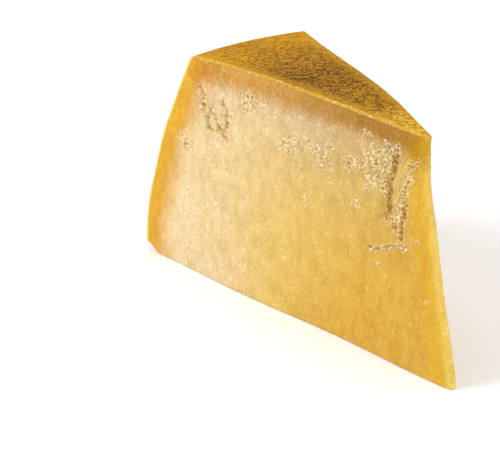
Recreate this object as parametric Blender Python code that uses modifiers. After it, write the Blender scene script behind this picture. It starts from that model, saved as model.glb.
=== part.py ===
"""A chunk of parmesan: a narrow wedge split from the upper half of a drum-shaped wheel.

The chunk stands on the flat cut made through the middle of the wheel. Its top is the wheel's slightly
swollen flat face, its outer side is the wheel's bulging barrel, and its two long sides are split faces
that run together in a thin, blunt edge at the wheel's axis. Low down, that edge leans outwards.

The origin is the middle of the footprint box, on the surface that the chunk stands on. +X points to
the thin edge, -X to the barrel side, -Y to the front split face and +Z up. All lengths are metres.
"""

import math

import bmesh
import bpy
from mathutils import Vector

# The wheel that the chunk comes from
WHEEL_RADIUS = 0.200  # at the waist, where the wheel was halved
FACE_RADIUS = 0.161  # where the barrel meets the flat face
HALF_HEIGHT = 0.127  # from the waist up to the flat face
FACE_SWELL = 0.0025  # how far the flat face swells between its rim and its middle
BARREL_POWER = 1.72  # how fast the barrel draws in towards the flat face
RIM_ROUND = 0.004  # radius of the worn rim
WHEEL_STEPS = 180  # facets round the whole wheel
BARREL_STEPS = 14
FACE_STEPS = 12
RIM_STEPS = 3

# The wedge split out of it
HALF_ANGLE = math.radians(12.8)
EDGE_ROUND = 0.0020  # half the thickness of the thin edge
EDGE_SLOPE = 0.25  # how far the thin edge leans out for each metre down
EDGE_LEAN_START = 0.099  # height where it starts to lean
EDGE_LEAN_SOFTNESS = 0.008
BLOCK_REACH = 0.215  # past the barrel
BLOCK_MARGIN = 0.012  # past the flat face and the base
CELLS_ALONG = 36
CELLS_UP = 22
CELLS_ACROSS = 4

# The piece broken out of the lower outer corner
CHIP_RISE = 0.0065
CHIP_RUN = 0.0110
CHIP_TURN = math.radians(16.0)  # turns the break, so that it dies out along the rim
CHIP_SIZE = 0.060

PASTE_COLOUR = (0.83, 0.62, 0.27, 1.0)


def edge_lean(height):
    """How far the thin edge stands out past the wheel's axis at a height: a ramp with a soft start."""
    below = EDGE_LEAN_START - height
    return EDGE_SLOPE * (math.hypot(below, EDGE_LEAN_SOFTNESS) + below) / 2.0


def wheel_axis_x():
    """Where the wheel's axis stands, so that the chunk's box is centred on the origin."""
    return (WHEEL_RADIUS - edge_lean(0.0) - EDGE_ROUND) / 2.0


def barrel_radius(height):
    """The wheel's radius at a height: it draws in as a power of the height above the waist."""
    return WHEEL_RADIUS - (WHEEL_RADIUS - FACE_RADIUS) * (height / HALF_HEIGHT) ** BARREL_POWER


def face_height(radius):
    """The height of the flat face at a radius: one low swell between the axis and the rim."""
    return HALF_HEIGHT + FACE_SWELL * math.sin(math.pi * radius / FACE_RADIUS)


def dish(along, height, centre_along, centre_height, reach_along, reach_height):
    """A smooth hollow of depth 1 that fades as a bell curve away from its centre."""
    across = (along - centre_along) / reach_along
    up = (height - centre_height) / reach_height
    return math.exp(-across * across - up * up)


def front_relief(along, height):
    """How far the front split face stands out from its plane: long swells and a few torn hollows.

    along is the distance from the thin edge, height is measured from the base.
    """
    swell = 0.0005 * math.sin(52.0 * along + 30.0 * height + 0.6)
    swell += 0.0003 * math.sin(110.0 * height - 48.0 * along + 2.0)
    scallop_scar = 0.0016 * dish(along, height, 0.031, 0.049, 0.017, 0.010)
    tear = 0.0014 * dish(along, height, 0.026, 0.092, 0.007, 0.017)
    rough_patch = 0.0010 * dish(along, height, 0.144, 0.099, 0.014, 0.016)
    return swell - scallop_scar - tear - rough_patch


def back_relief(along, height):
    """The same for the back split face, which broke in broader, deeper waves."""
    swell = 0.0008 * math.sin(47.0 * along - 22.0 * height + 1.9)
    swell += 0.0004 * math.sin(92.0 * height + 41.0 * along + 0.4)
    long_scar = 0.0018 * dish(along, height, 0.095, 0.058, 0.034, 0.015)
    tear = 0.0014 * dish(along, height, 0.040, 0.085, 0.012, 0.020)
    return swell - long_scar - tear


def split_block_point(share_along, share_across, height):
    """A point on the split block, from its shares of the way along (0 at the thin edge) and across.

    At each height the plan is a long trapezium from a half-round thin edge to beyond the barrel. Its
    sides are then moved in or out by their relief.
    """
    far_x = wheel_axis_x() - BLOCK_REACH * math.cos(HALF_ANGLE)
    far_half = BLOCK_REACH * math.sin(HALF_ANGLE)
    near_x = wheel_axis_x() + edge_lean(height)
    x = near_x + (far_x - near_x) * share_along
    half = EDGE_ROUND + (far_half - EDGE_ROUND) * share_along
    if share_along == 0.0:
        turn = math.pi / 2.0 * share_across
        x += EDGE_ROUND * math.cos(turn)
        y = half * math.sin(turn)
    else:
        y = half * share_across
    along = near_x - x
    relief = front_relief(along, height) if share_across < 0.0 else back_relief(along, height)
    return Vector((x, y + share_across * relief, height))


def cut_into_cells(shape, axis, cuts):
    """Loop cuts across every edge of a box mesh that runs along one axis."""
    along_axis = [
        edge
        for edge in shape.edges
        if abs((edge.verts[0].co - edge.verts[1].co).normalized()[axis]) > 0.99
    ]
    bmesh.ops.subdivide_edges(shape, edges=along_axis, cuts=cuts, use_grid_fill=True)


def add_object(name, shape, collection):
    """Turns a bmesh into a mesh object in a collection."""
    mesh = bpy.data.meshes.new(name)
    shape.to_mesh(mesh)
    shape.free()
    piece = bpy.data.objects.new(name, mesh)
    collection.objects.link(piece)
    return piece


def make_split_block(collection):
    """The block between the two split faces: a box cut into cells whose corners are then placed."""
    shape = bmesh.new()
    bmesh.ops.create_cube(shape, size=2.0)
    cut_into_cells(shape, 0, CELLS_ALONG - 1)
    cut_into_cells(shape, 1, CELLS_ACROSS - 1)
    cut_into_cells(shape, 2, CELLS_UP - 1)
    low = -BLOCK_MARGIN
    high = HALF_HEIGHT + BLOCK_MARGIN
    for corner in shape.verts:
        share_along = (1.0 - corner.co.x) / 2.0
        height = low + (high - low) * (corner.co.z + 1.0) / 2.0
        corner.co = split_block_point(round(share_along, 6), corner.co.y, height)
    bmesh.ops.recalc_face_normals(shape, faces=shape.faces)
    return as_cutter(add_object("split_block", shape, collection))


def make_corner_chip(collection):
    """A box laid across the lower outer corner at the front, tilted to the break's slope."""
    shape = bmesh.new()
    bmesh.ops.create_cube(shape, size=CHIP_SIZE)
    bmesh.ops.translate(shape, verts=shape.verts, vec=(-CHIP_SIZE / 2.0, 0.0, 0.0))
    chip = as_cutter(add_object("corner_chip", shape, collection))
    outward = Vector((-math.cos(HALF_ANGLE), -math.sin(HALF_ANGLE), 0.0))
    break_middle = outward * (WHEEL_RADIUS - CHIP_RUN / 2.0)
    chip.location = (wheel_axis_x() + break_middle.x, break_middle.y, CHIP_RISE / 2.0)
    slope = math.atan2(CHIP_RUN, CHIP_RISE)
    chip.rotation_euler = (0.0, -slope, HALF_ANGLE + CHIP_TURN)
    return chip


def as_cutter(piece):
    """Marks an object as a cutter, which is never shown."""
    piece.hide_render = True
    piece.display_type = "WIRE"
    return piece


def wheel_profile():
    """The half wheel's outline as (radius, height) points, from the axis out and down the barrel."""
    points = []
    for step in range(FACE_STEPS):
        radius = (FACE_RADIUS - RIM_ROUND) * step / FACE_STEPS
        points.append((radius, face_height(radius)))
    # The worn rim: a curve from the face to the barrel, pulled towards the corner between them
    start = Vector((FACE_RADIUS - RIM_ROUND, face_height(FACE_RADIUS - RIM_ROUND)))
    corner = Vector((FACE_RADIUS, HALF_HEIGHT))
    rim_foot = HALF_HEIGHT - RIM_ROUND
    end = Vector((barrel_radius(rim_foot), rim_foot))
    for step in range(RIM_STEPS + 1):
        share = step / RIM_STEPS
        bend = start * (1 - share) ** 2 + corner * (2 * share * (1 - share)) + end * share**2
        points.append(tuple(bend))
    for step in range(1, BARREL_STEPS + 1):
        height = rim_foot * (1.0 - step / BARREL_STEPS)
        points.append((barrel_radius(height), height))
    points.append((0.0, 0.0))
    return points


def make_half_wheel(name, collection):
    """The upper half of the wheel: its outline turned about the wheel's axis."""
    profile = wheel_profile()
    mesh = bpy.data.meshes.new(name)
    corners = [(radius, 0.0, height) for radius, height in profile]
    edges = [(index, index + 1) for index in range(len(profile) - 1)]
    mesh.from_pydata(corners, edges, [])
    wheel = bpy.data.objects.new(name, mesh)
    wheel.location.x = wheel_axis_x()
    collection.objects.link(wheel)
    turn = wheel.modifiers.new("turn", "SCREW")
    turn.axis = "Z"
    turn.angle = 2.0 * math.pi
    turn.steps = WHEEL_STEPS
    turn.render_steps = WHEEL_STEPS
    turn.use_merge_vertices = True
    turn.merge_threshold = 0.0001
    turn.use_smooth_shade = False
    return wheel


def add_cut(piece, cutter, operation):
    """Cuts a piece with a cutter: INTERSECT keeps what is inside it, DIFFERENCE what is outside."""
    cut = piece.modifiers.new(cutter.name, "BOOLEAN")
    cut.operation = operation
    cut.solver = "EXACT"
    cut.object = cutter


def make_paste_material():
    """The pale gold paste of an aged cheese, smooth and slightly waxy."""
    paste = bpy.data.materials.new("aged paste")
    paste.use_nodes = True
    shader = paste.node_tree.nodes["Principled BSDF"]
    shader.inputs["Base Color"].default_value = PASTE_COLOUR
    shader.inputs["Roughness"].default_value = 0.55
    shader.inputs["Metallic"].default_value = 0.0
    paste.diffuse_color = PASTE_COLOUR
    return paste


def new_collection(name):
    collection = bpy.data.collections.new(name)
    bpy.context.scene.collection.children.link(collection)
    return collection


def main():
    for old in list(bpy.data.objects):
        bpy.data.objects.remove(old, do_unlink=True)
    cheese = new_collection("parmesan chunk")
    cutters = new_collection("cutters")
    chunk = make_half_wheel("parmesan_chunk", cheese)
    chunk.data.materials.append(make_paste_material())
    add_cut(chunk, make_split_block(cutters), "INTERSECT")
    add_cut(chunk, make_corner_chip(cutters), "DIFFERENCE")


main()
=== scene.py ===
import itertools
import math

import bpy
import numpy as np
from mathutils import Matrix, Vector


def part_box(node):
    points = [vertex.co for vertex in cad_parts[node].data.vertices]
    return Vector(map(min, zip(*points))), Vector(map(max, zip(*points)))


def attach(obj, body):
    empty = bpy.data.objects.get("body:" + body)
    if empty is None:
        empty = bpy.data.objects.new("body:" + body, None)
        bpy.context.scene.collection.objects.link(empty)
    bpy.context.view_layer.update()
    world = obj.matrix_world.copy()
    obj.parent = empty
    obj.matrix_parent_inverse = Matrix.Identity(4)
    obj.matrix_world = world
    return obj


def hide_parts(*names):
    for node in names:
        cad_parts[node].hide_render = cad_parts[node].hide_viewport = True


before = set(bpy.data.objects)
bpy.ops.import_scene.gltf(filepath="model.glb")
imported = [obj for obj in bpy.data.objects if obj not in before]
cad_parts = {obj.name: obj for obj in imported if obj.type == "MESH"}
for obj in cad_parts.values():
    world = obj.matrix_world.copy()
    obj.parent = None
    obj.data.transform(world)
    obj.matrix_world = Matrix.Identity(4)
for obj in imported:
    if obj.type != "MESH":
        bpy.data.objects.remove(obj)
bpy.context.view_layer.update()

# The looks of a parmesan chunk: a wedge split from the upper half of a wheel. It is made of the paste, the
# rind that covers its top and its outer side, and the crystals and crumbs that sit in its split faces.
# Lengths are metres, except in the lists of swells, hollows, patches and tears, in the finishes, and where
# a length is divided by MM: those are millimetres.

LOW, HIGH = (np.array(corner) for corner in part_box("parmesan_chunk"))
MM = 0.001

# The wheel that the chunk was split from
WHEEL_RADIUS = 0.200
FACE_RADIUS = 0.161
FACE_SWELL = 0.0025
HALF_HEIGHT = HIGH[2] - FACE_SWELL
BARREL_POWER = 1.72
RIM_ROUND = 0.004
AXIS_X = LOW[0] + WHEEL_RADIUS

# The wedge
HALF_ANGLE = math.radians(12.8)
EDGE_ROUND = 0.0020
EDGE_SLOPE = 0.25
EDGE_LEAN_START = 0.099
EDGE_LEAN_SOFTNESS = 0.008
FOOT_ROUND = 0.0009  # the worn corner between the walls and the base
FRONT = -1.0
BACK = 1.0

# The rind
RIND_THICK = 1.7 * MM
RIND_PROUD = 0.12 * MM  # how far its cut lip stands out of the split faces
RIND_LIP_ROUND = 0.6 * MM
PASTE_TUCK = 0.85 * MM  # how far the paste reaches up into the rind

# The piece broken out of the lower outer corner
CHIP_RISE = 0.0065
CHIP_RUN = 0.0110
CHIP_TURN = math.radians(16.0)

HAIR = 1.0e-9  # too small to matter, in metres or radians

# How finely the surfaces are divided
JOIN_STEP = 1.0e-7  # corners that round to the same step become one
FRONT_COLUMNS = 340  # even, because the back has half as many
WALL_ROWS = 160
NOSE_COLUMNS = 12
CROSS_COLUMNS = 20
FOOT_ROWS = 4


# ---- numbers that look random

LARGEST = 0xFFFFFFFF
COLUMN_MIX, ROW_MIX, SEED_MIX, LAST_MIX = 374761393, 668265263, 974634777, 1274126177


def cell_number(column, row, seed):
    """A repeatable number from 0 to 1 for each whole-number cell: its indices and the seed, bit-mixed."""
    column, row = np.asarray(column).astype(np.int64), np.asarray(row).astype(np.int64)
    mixed = (column * COLUMN_MIX + row * ROW_MIX + seed * SEED_MIX) & LARGEST
    mixed = ((mixed ^ (mixed >> 13)) * LAST_MIX) & LARGEST
    mixed = (mixed ^ (mixed >> 16)) & LARGEST
    return mixed / LARGEST


def smooth_step(value, start, end):
    """0 below start, 1 above end, and 3t^2 - 2t^3 between them."""
    share = np.clip((value - start) / (end - start), 0.0, 1.0)
    return share * share * (3.0 - 2.0 * share)


def noise(x, y, seed):
    """Gradient noise from about -1 to 1: each cell corner has its own tilt, and a quintic blends them."""
    column, row = np.floor(x), np.floor(y)
    across, up = x - column, y - row
    ease_x = across**3 * (across * (across * 6.0 - 15.0) + 10.0)
    ease_y = up**3 * (up * (up * 6.0 - 15.0) + 10.0)

    def corner(step_x, step_y):
        turn = 2.0 * math.pi * cell_number(column + step_x, row + step_y, seed)
        return np.cos(turn) * (across - step_x) + np.sin(turn) * (up - step_y)

    low = corner(0, 0) * (1.0 - ease_x) + corner(1, 0) * ease_x
    high = corner(0, 1) * (1.0 - ease_x) + corner(1, 1) * ease_x
    return 1.5 * (low * (1.0 - ease_y) + high * ease_y)


def layered_noise(x, y, seed, layers):
    """A sum of noises, each twice as fine as the last and half as strong."""
    total = np.zeros_like(x)
    for layer in range(layers):
        finer = 2.0**layer
        total = total + noise(x * finer, y * finer, seed + 17 * layer) / finer
    return total


def grain_distance(x, y, seed):
    """Distance from each point to the nearest of one random point per cell, and that point's own number."""
    nearest = np.full(np.shape(x), np.inf)
    number = np.zeros(np.shape(x))
    for step_x in (-1, 0, 1):
        for step_y in (-1, 0, 1):
            column, row = np.floor(x) + step_x, np.floor(y) + step_y
            point_x = column + cell_number(column, row, seed)
            point_y = row + cell_number(column, row, seed + 5)
            distance = np.hypot(x - point_x, y - point_y)
            closer = distance < nearest
            nearest = np.where(closer, distance, nearest)
            number = np.where(closer, cell_number(column, row, seed + 9), number)
    return nearest, number


# ---- the wheel and the wedge


def edge_lean(height):
    """How far the thin edge stands out past the wheel's axis: a ramp down from a height, softly started."""
    below = EDGE_LEAN_START - height
    return EDGE_SLOPE * (np.hypot(below, EDGE_LEAN_SOFTNESS) + below) / 2.0


def barrel_radius(height):
    """The wheel's radius: the waist's, less a power of the height above it."""
    share = np.clip(height / HALF_HEIGHT, 0.0, 1.0)
    return WHEEL_RADIUS - (WHEEL_RADIUS - FACE_RADIUS) * share**BARREL_POWER


def face_height(radius):
    """The height of the wheel's flat face: half a sine of swell between the axis and the rim."""
    return HALF_HEIGHT + FACE_SWELL * np.sin(math.pi * np.clip(radius / FACE_RADIUS, 0.0, 1.0))


def dish(along, height, centre_along, centre_height, reach_along, reach_height):
    """A bell of depth 1: e to the minus the squares of both distances over their reaches."""
    across = (along - centre_along) / reach_along
    up = (height - centre_height) / reach_height
    return np.exp(-across * across - up * up)


# Broad swells of each split face: size, radians per metre along and up, and start. Hollows: depth, middle
# along and up, and reach along and up.
SWELLS = {
    FRONT: [(0.5, 52.0, 30.0, 0.6), (0.3, -48.0, 110.0, 2.0)],
    BACK: [(0.8, 47.0, -22.0, 1.9), (0.4, 41.0, 92.0, 0.4)],
}
HOLLOWS = {
    FRONT: [(1.6, 31, 49, 17, 10), (1.4, 26, 92, 7, 17), (1.0, 144, 99, 14, 16)],
    BACK: [(1.8, 95, 58, 34, 15), (1.4, 40, 85, 12, 20)],
}


def waves(side, along, height):
    """The broad relief of a split face, outwards: sines, less bell-shaped hollows."""
    relief = 0.0
    for size, rate_along, rate_up, start in SWELLS[side]:
        relief = relief + size * MM * np.sin(rate_along * along + rate_up * height + start)
    for depth, *place in HOLLOWS[side]:
        relief = relief - depth * MM * dish(along, height, *(MM * number for number in place))
    return relief


def edge_waves(share, height):
    """The waves at the thin edge, which pass from the front face's to the back's by a share of the way."""
    return waves(FRONT, 0.0, height) * (1.0 - share) + waves(BACK, 0.0, height) * share


def split_face_point(side, radius, height, relief):
    """A point of a split face, for its distance from the axis and its height.

    The face runs straight from the thin edge to the wheel's outer corner: the share of the way is the
    radius over the barrel's radius, and the relief moves it out along the face's own direction.
    """
    share = radius / barrel_radius(height)
    out_x, out_y = math.sin(HALF_ANGLE), side * math.cos(HALF_ANGLE)
    edge_x = edge_lean(height) + EDGE_ROUND * out_x
    x = AXIS_X - radius * math.cos(HALF_ANGLE) + (1.0 - share) * edge_x + relief * out_x
    y = side * radius * math.sin(HALF_ANGLE) + (1.0 - share) * EDGE_ROUND * out_y + relief * out_y
    return np.stack([x, y, np.broadcast_to(height, np.shape(x))], -1)


def along_from_edge(radius, height):
    """Distance from the thin edge along a split face."""
    share = radius / barrel_radius(height)
    return radius * math.cos(HALF_ANGLE) + share * edge_lean(height)


# ---- the torn faces

# Crumbled patches: along from the thin edge, height, reach along, reach up, strength
CRUMBLED = {}
CRUMBLED[FRONT] = [
    (151, 100, 2.2, 8, 0.8), (144, 95, 2.5, 5, 0.7), (135, 97, 2.5, 6, 0.8), (140, 88, 4, 5, 0.9),
    (117, 111, 5.5, 5, 1.0), (130, 100, 2, 2.5, 0.7), (96, 112, 3, 3, 0.5), (130, 88, 4, 4, 0.45),
    (168, 75, 4.0, 5.0, 0.9), (153, 49, 3.5, 2.5, 0.6), (117, 89, 3, 5, 0.5), (103, 102, 3, 3, 0.55),
    (90, 96, 5.5, 4.5, 1.0), (67, 97, 4.5, 6, 1.0), (76, 101, 4, 3, 0.7), (62, 104, 4, 2.5, 0.7),
    (49, 97, 3.5, 4, 0.7), (47, 78, 3, 4, 0.5), (36.5, 118.5, 4, 1.5, 0.6), (63, 85, 1.5, 2, 0.5),
    (24, 114, 3, 3, 1.0), (20, 109, 2.5, 5, 1.0), (31, 110, 3, 3, 0.9), (37, 105, 3, 3.5, 0.9),
    (40, 99, 3, 3, 1.0), (31, 103, 3.5, 4, 1.0), (25, 104, 3, 5, 1.0), (35, 95, 3.5, 3.5, 1.0),
    (29, 95, 3, 4, 1.0), (28, 89, 2, 3, 0.8), (47, 100, 3.5, 3, 0.8), (38, 90, 3, 2.5, 0.8),
    (14.5, 94, 2.2, 4, 0.9), (18, 85.5, 2.6, 4.5, 1.0), (20.5, 78, 2.2, 4, 1.0), (20, 70, 1.5, 4, 0.9),
    (9, 106, 3, 7, 0.5),
    (37, 58, 4, 1.5, 0.75), (24, 63, 4, 1.2, 0.6), (9, 70, 3, 2.2, 0.6), (38, 50, 2.5, 1.3, 0.6),
    (16, 55, 3.5, 1.6, 0.5), (7, 41, 1.6, 1.4, 0.7), (84, 70, 3, 4, 0.45), (132, 70, 3, 3, 0.45),
]
CRUMBLED[BACK] = [
    (42, 92, 7, 10, 1.0), (52, 78, 6, 6, 0.9), (34, 70, 4, 7, 0.8), (120, 88, 9, 6, 0.8),
    (138, 96, 5, 6, 0.9), (96, 44, 14, 2.2, 0.8), (118, 40, 7, 3, 0.8), (160, 60, 4, 6, 0.7),
    (75, 106, 6, 4, 0.6), (20, 40, 4, 6, 0.6), (148, 28, 6, 3, 0.7), (66, 22, 6, 3, 0.5),
]

# Tears: width, depth, how broken up, and the points they run through, as along from the edge and height
TEARS = {}
TEARS[FRONT] = [
    (1.4, 1.5, 0.45, [(153, 110), (151, 105), (151, 98), (149, 89)]),
    (2.1, 1.5, 0.35, [(150, 94), (149, 88)]),
    (2.1, 1.5, 0.35, [(142, 90), (138, 86)]),
    (1.4, 1.3, 0.60, [(146, 99), (143, 94), (141, 88), (137, 86)]),
    (1.4, 1.3, 0.60, [(136, 105), (134, 101), (135, 94), (137, 88)]),
    (0.7, 0.8, 0.8, [(122, 114), (120, 110)]),
    (0.8, 0.8, 0.9, [(117, 114), (114, 112), (112, 108)]),
    (0.8, 0.9, 0.7, [(168, 78), (169, 72), (166, 75)]),
    (1.0, 0.8, 0.7, [(17, 117), (18, 111), (21, 105)]),
    (2.3, 1.5, 0.25, [(18, 110), (20, 104), (23, 98), (25, 91), (26, 85), (28, 76)]),
    (1.2, 1.2, 0.4, [(28, 78), (25, 77), (23, 72)]),
    (1.3, 1.2, 0.4, [(15, 87), (16, 81), (19, 75), (20, 67)]),
    (0.9, 0.5, 0.9, [(4, 113), (8, 109), (10, 103), (12, 97), (14, 91)]),
    (0.5, 0.9, 0.6, [(42, 57), (39, 57), (35, 60), (31, 61), (28, 62), (16, 66)]),
]
TEARS[BACK] = [
    (1.4, 1.7, 0.5, [(48, 108), (44, 98), (46, 88), (39, 78), (41, 70)]),
    (1.0, 1.2, 0.8, [(58, 88), (52, 80), (44, 76)]),
    (0.8, 1.0, 0.7, [(72, 45), (88, 42), (104, 44), (124, 39)]),
    (1.2, 1.3, 0.6, [(141, 106), (138, 97), (141, 90), (136, 84)]),
    (0.9, 1.1, 0.8, [(163, 68), (160, 60), (162, 52)]),
]
TORN_SEED = {FRONT: 100, BACK: 500}
PATCH_REACH = 1.35  # how far a patch spreads past its listed reach
TEAR_REACH = 2.1  # how far beside a tear it is crumbled


def distance_to_path(along, height, path):
    """Distance from each point to a run of straight stretches, listed in millimetres."""
    nearest = np.full(np.shape(along), np.inf)
    for (a0, h0), (a1, h1) in zip(path[:-1], path[1:]):
        start = np.array((a0, h0)) * MM
        stretch = np.array((a1, h1)) * MM - start
        reach = (along - start[0]) * stretch[0] + (height - start[1]) * stretch[1]
        share = np.clip(reach / stretch.dot(stretch), 0.0, 1.0)
        gap = np.hypot(along - start[0] - share * stretch[0], height - start[1] - share * stretch[1])
        nearest = np.minimum(nearest, gap)
    return nearest


def torn_surface(side, along, height):
    """The fine relief of a split face: its relief outwards, how crumbled it is, and how deep its pits are.

    The whole face has a fine tooth and shallow steps where flakes came away. Crumbled patches are grainy
    and pitted: grains are domes round scattered points, pits are the peaks of a finer noise. Tears are
    grooves whose depth and path wander, with banks of crumbs beside them.
    """
    u, v = along / MM, height / MM
    seed = TORN_SEED[side]

    def lumps(number, long, tall):
        return noise(u / long, v / tall, seed + number)

    wander_a = along + MM * (1.1 * lumps(0, 4.0, 4.0) + 0.5 * lumps(1, 1.4, 1.4))
    wander_h = height + MM * (1.1 * lumps(2, 4.0, 4.0) + 0.5 * lumps(3, 1.4, 1.4))

    groove, beside, ridge = np.zeros((3, *u.shape))
    rough = 0.5 - 1.3 * lumps(11, 1.2, 1.8) - 0.6 * lumps(17, 4.2, 5.5)
    for width, depth, broken, path in TEARS[side]:
        gap = distance_to_path(wander_a, wander_h, path) / (width * MM)
        groove = np.maximum(groove, depth * np.exp(-gap * gap) * np.clip(1.0 - broken * rough, 0.0, 1.25))
        beside = np.maximum(beside, np.exp(-((gap * width / TEAR_REACH) ** 2)))
        ridge = np.maximum(ridge, np.exp(-((gap - 1.8) ** 2)) * min(depth, 1.2))

    strength = 0.85 * beside
    for a, h, reach_a, reach_h, peak in CRUMBLED[side]:
        place = (a * MM, h * MM, reach_a * PATCH_REACH * MM, reach_h * PATCH_REACH * MM)
        strength = np.maximum(strength, peak * dish(wander_a, wander_h, *place))
    ragged = strength + 0.30 * lumps(4, 2.2, 3.4) + 0.26 * lumps(5, 1.0, 1.5) + 0.16 * lumps(19, 9.0, 12.0)
    crumbled = smooth_step(ragged, 0.26, 0.66) * smooth_step(strength, 0.05, 0.25)

    grain, number = grain_distance(u / 1.3, v / 1.7, seed + 6)
    domes = (0.55 - grain) * (0.5 + number)
    fine_grain, _ = grain_distance(u / 0.8, v / 0.95, seed + 7)
    deep = lumps(8, 1.05, 1.5) + 0.3 * lumps(20, 3.6, 5.0) + 0.55 * strength
    pits = smooth_step(deep, 0.52, 0.90) * crumbled
    sparse = smooth_step(lumps(9, 0.9, 1.25), 0.55, 0.85) * smooth_step(lumps(10, 19.0, 13.0), -0.25, 0.45)

    flake_steps = layered_noise(u / 24.0, v / 17.0, seed + 12, 3) * 5.0
    part = flake_steps - np.floor(flake_steps)
    flake_steps = np.floor(flake_steps) + smooth_step(part, 0.78, 1.0)
    tooth = 0.11 * lumps(13, 1.2, 1.7) + 0.14 * lumps(14, 2.8, 4.6) + 0.14 * lumps(15, 8.0, 11.0)
    tooth = tooth + 0.08 * flake_steps - 0.07 * fine_grain

    crumb_relief = -0.15 + 0.95 * domes + 0.30 * (0.5 - fine_grain) + 0.55 * lumps(16, 1.7, 2.6)
    banks = ridge * (0.15 + 0.65 * lumps(21, 1.6, 2.2))
    relief = tooth + crumbled * crumb_relief - 0.8 * pits - 0.4 * sparse - groove + banks
    # hollow is how deep the pits and grooves lie; the paste's finish darkens it as painted shade
    hollow = np.clip(0.55 * pits + 0.25 * sparse + 0.50 * groove, 0.0, 1.0)
    return relief * MM, crumbled, hollow


# ---- meshes from grids


def grid_patch(points, marks, tile, turned=False):
    """A grid of corners with its share of the flat layout. points is rows by columns by 3.

    tile is (left, bottom, width, height) in the layout. turned swaps which side faces out.
    """
    rows, columns = points.shape[:2]
    left, bottom, width, tall = tile
    across, up = np.meshgrid(np.linspace(0.0, 1.0, columns), np.linspace(0.0, 1.0, rows))
    layout = np.stack([left + width * across, bottom + tall * up], -1)
    corner = np.arange(rows * columns).reshape(rows, columns)
    around = (corner[:-1, :-1], corner[:-1, 1:], corner[1:, 1:], corner[1:, :-1])
    quads = np.stack(around, -1).reshape(-1, 4)
    if turned:
        quads = quads[:, ::-1]
    flat_marks = {name: np.broadcast_to(value, (rows, columns)).ravel() for name, value in marks.items()}
    return points.reshape(-1, 3), layout.reshape(-1, 2), quads, flat_marks


def add_object(name, data):
    """Puts a new object into the scene, at the origin."""
    thing = bpy.data.objects.new(name, data)
    bpy.context.scene.collection.objects.link(thing)
    return thing


def finished_piece(name, points, polygons, layout, marks, material):
    """A smooth-shaded piece: corners, faces, a flat layout of each face's corners, and marks per corner."""
    mesh = bpy.data.meshes.new(name)
    mesh.from_pydata(points.tolist(), [], polygons)
    mesh.uv_layers.new(name="OFBake").data.foreach_set("uv", layout.ravel())
    for key, values in marks.items():
        mesh.attributes.new(key, "FLOAT", "POINT").data.foreach_set("value", values.astype(np.float32))
    mesh.materials.append(material)
    mesh.shade_smooth()
    return add_object(name, mesh)


def mesh_piece(name, patches, extras, material):
    """Joins patches into one closed mesh: corners that lie together become one, empty sides drop out.

    extras are further faces: the number of a patch, its corners by index, and their flat layout.
    """
    points = np.concatenate([patch[0] for patch in patches])
    layout = np.concatenate([patch[1] for patch in patches])
    starts = np.cumsum([0] + [len(patch[0]) for patch in patches])
    quads = np.concatenate([patch[2] + start for patch, start in zip(patches, starts)])
    marks = {key: np.concatenate([patch[3][key] for patch in patches]) for key in patches[0][3]}
    keys = np.round(points / JOIN_STEP).astype(np.int64)
    _, kept, joined = np.unique(keys, axis=0, return_index=True, return_inverse=True)
    joined = joined.ravel()
    corners = joined[quads]
    distinct = corners != np.roll(corners, -1, axis=1)
    four, three = (distinct.sum(1) == sides for sides in (4, 3))
    polygons = corners[four].tolist() + corners[three][distinct[three]].reshape(-1, 3).tolist()
    layouts = [layout[quads[four]].reshape(-1, 2), layout[quads[three]][distinct[three]]]
    for number, indices, extra_layout in extras:
        polygons += joined[indices + starts[number]].tolist()
        layouts.append(extra_layout.reshape(-1, 2))
    kept_marks = {key: values[kept] for key, values in marks.items()}
    return finished_piece(name, points[kept], polygons, np.concatenate(layouts), kept_marks, material)


def denser_spacing(count, thick_spots):
    """count + 1 shares from 0 to 1, closer together near thick spots of (centre, reach, strength)."""
    fine = np.linspace(0.0, 1.0, 2001)
    density = np.ones_like(fine)
    for centre, reach, strength in thick_spots:
        density += strength * np.exp(-(((fine - centre) / reach) ** 2))
    passed = np.concatenate([[0.0], np.cumsum((density[1:] + density[:-1]) / 2.0)])
    return np.interp(np.linspace(0.0, passed[-1], count + 1), passed, fine)


# ---- the paste


def chip_out():
    """The way out of the broken corner: square to its slope, turned so that it dies out along the rim."""
    slope = math.atan2(CHIP_RUN, CHIP_RISE)
    turn = HALF_ANGLE + CHIP_TURN
    flat = math.cos(slope)
    return np.array((-flat * math.cos(turn), -flat * math.sin(turn), -math.sin(slope)))


def past_chip(points):
    """How far points stand out past the broken corner's surface, which is itself uneven."""
    reach = WHEEL_RADIUS - CHIP_RUN / 2.0
    middle = (AXIS_X - reach * math.cos(HALF_ANGLE), -reach * math.sin(HALF_ANGLE), CHIP_RISE / 2.0)
    past = (points - np.array(middle)) @ chip_out()
    y, z = points[..., 1] / MM, points[..., 2] / MM
    return past + MM * (0.35 * noise(y / 3.3, z / 3.3, 41) + 0.25 * noise(y / 1.3, z / 1.3, 42))


def break_corner(points):
    """Moves what stands past the broken corner back onto it."""
    past = np.maximum(past_chip(points), 0.0)
    return points - past[..., None] * chip_out()


def wall_rows(radius_share):
    """Heights and insets of a wall's rows: a quarter round at the foot, then up to under the top rind.

    The rows are closest together where the face is torn.
    """
    turn = np.linspace(0.0, math.pi / 2.0, FOOT_ROWS + 1)[:-1, None]
    up = denser_spacing(WALL_ROWS, [(0.74, 0.2, 0.7), (0.45, 0.08, 0.3)])[:, None]
    top = face_height(radius_share * FACE_RADIUS) - PASTE_TUCK
    foot_height = FOOT_ROUND * (1.0 - np.cos(turn)) + 0.0 * top
    foot_inset = FOOT_ROUND * (1.0 - np.sin(turn)) + 0.0 * top
    height = FOOT_ROUND + up * (top - FOOT_ROUND)
    return np.concatenate([foot_height, height]), np.concatenate([foot_inset, 0.0 * height])


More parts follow.
